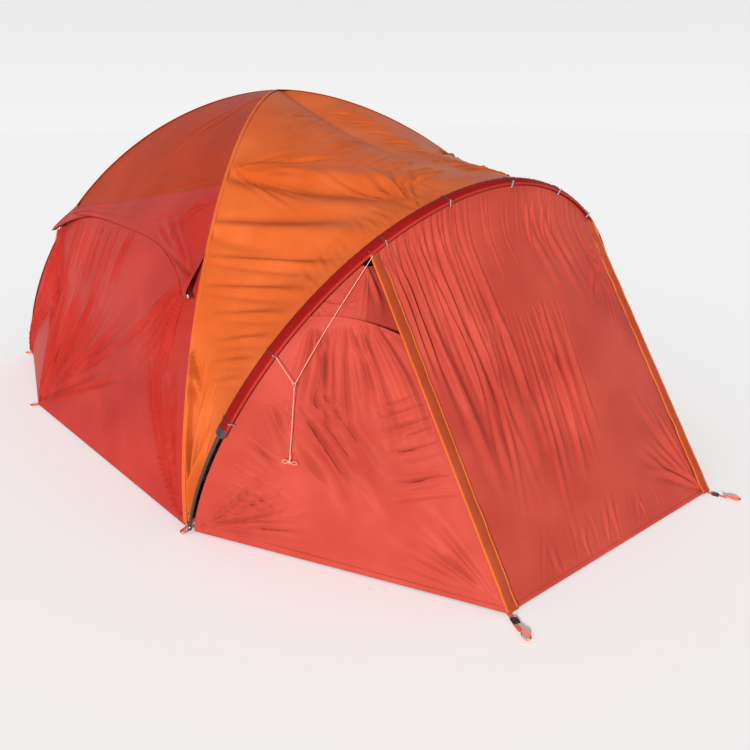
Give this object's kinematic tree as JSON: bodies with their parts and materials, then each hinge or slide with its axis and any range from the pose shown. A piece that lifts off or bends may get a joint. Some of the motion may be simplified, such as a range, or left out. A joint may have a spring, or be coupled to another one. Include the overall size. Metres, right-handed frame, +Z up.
{
  "type": "dome tent with porch",
  "caption": "Dome tent on crossed poles with an inner tent, a rainfly with eaves and an arched, zipped front porch, pitched and closed.",
  "frame": {"origin": "on the ground under the middle of the tent's whole outline, pegged loops included", "axes": "+X across the tent, +Y from the porch towards the tent's back, +Z up"},
  "size_m": [3.518, 4.845, 1.953],
  "materials": {
    "fabric_orange": "smooth coated nylon",
    "fabric_red": "smooth coated nylon",
    "fabric_dark_red": "smooth coated nylon",
    "inner_fabric": "thin breathable nylon",
    "floor_fabric": "thick coated nylon",
    "pole_aluminium": "dark anodised",
    "bare_aluminium": "satin",
    "elastic_cord": "braided",
    "black_plastic": "moulded",
    "grey_plastic": "moulded",
    "zip_coil": "woven tape and nylon coil",
    "slider_metal": "satin",
    "webbing": "woven webbing",
    "guy_cord": "braided"
  },
  "bodies": {
    "tent": {"fly_roof_left": "fabric_orange", "fly_roof_right": "fabric_orange", "fly_roof_rear": "fabric_orange", "fly_roof_front_left": "fabric_orange", "fly_roof_front_right": "fabric_orange", "peak_patch": "fabric_orange", "hood_left": "fabric_red", "hood_right": "fabric_red", "hood_rear": "fabric_red", "fly_wall_front_left": "fabric_red", "fly_wall_front_right": "fabric_red", "fly_wall_back_left": "fabric_red", "fly_wall_back_right": "fabric_red", "fly_wall_rear": "fabric_red", "porch_wall_left": "fabric_red", "porch_wall_right": "fabric_red", "porch_vents": "fabric_red", "porch_crown": "fabric_red", "arch_sleeve": "fabric_dark_red", "inner_wall_left": "inner_fabric", "inner_wall_right": "inner_fabric", "inner_wall_rear": "inner_fabric", "inner_wall_front": "inner_fabric", "inner_roof_front": "inner_fabric", "floor_tub": "floor_fabric", "dome_pole_a": "pole_aluminium", "dome_pole_b": "pole_aluminium", "arch_pole": "pole_aluminium", "brow_pole_left": "pole_aluminium", "brow_pole_right": "pole_aluminium", "brow_pole_rear": "pole_aluminium", "pole_ferrules": "bare_aluminium", "pole_tips": "bare_aluminium", "shock_cords": "elastic_cord", "pole_crossing_clip": "black_plastic", "foot_sockets": "black_plastic", "inner_tent_clips": "black_plastic", "ladder_locks": "black_plastic", "sleeve_toggles": "grey_plastic", "guy_rings": "slider_metal", "peg_loops": "webbing", "clip_straps": "webbing", "guy_leg_low_left": "guy_cord", "guy_leg_low_right": "guy_cord", "guy_leg_high_left": "guy_cord", "guy_leg_high_right": "guy_cord", "guy_tail_left": "guy_cord", "guy_tail_right": "guy_cord", "guy_bow_left": "guy_cord", "guy_bow_right": "guy_cord"},
    "porch_door": {"front_door": "fabric_red", "storm_flaps": "fabric_orange", "porch_zip_chains": "zip_coil"},
    "inner_tent_door": {"inner_door": "inner_fabric", "inner_zip_chain": "zip_coil"},
    "lower_slider_left": {"zip_slider_lower_left": "slider_metal"},
    "lower_slider_right": {"zip_slider_lower_right": "slider_metal"},
    "upper_slider_left": {"zip_slider_upper_left": "slider_metal"},
    "upper_slider_right": {"zip_slider_upper_right": "slider_metal"},
    "inner_slider": {"inner_zip_slider": "slider_metal"}
  },
  "joints": [
    {"name": "porch_door_swing", "type": "hinge", "parent": "tent", "child": "porch_door", "pos_m": [0, -1.41354, 1.2419], "axis": [-1, 0, 0], "range_deg": [0, 60]},
    {"name": "inner_door_swing", "type": "hinge", "parent": "tent", "child": "inner_tent_door", "pos_m": [-0.342, -0.56029, 0.7], "axis": [0, -0.4657, -0.8849], "range_deg": [0, 90]},
    {"name": "lower_zip_left", "type": "slide", "parent": "porch_door", "child": "lower_slider_left", "axis": [0.0013, 0.5754, 0.8179], "range_m": [0, 0.7]},
    {"name": "lower_zip_right", "type": "slide", "parent": "porch_door", "child": "lower_slider_right", "axis": [-0.0013, 0.5754, 0.8179], "range_m": [0, 0.7]},
    {"name": "upper_zip_left", "type": "slide", "parent": "porch_door", "child": "upper_slider_left", "axis": [-0.0013, -0.5754, -0.8179], "range_m": [0, 0.45]},
    {"name": "upper_zip_right", "type": "slide", "parent": "porch_door", "child": "upper_slider_right", "axis": [0.0013, -0.5754, -0.8179], "range_m": [0, 0.45]},
    {"name": "inner_zip", "type": "slide", "parent": "inner_tent_door", "child": "inner_slider", "axis": [0, 0.4657, 0.8849], "range_m": [0, 0.7]}
  ]
}
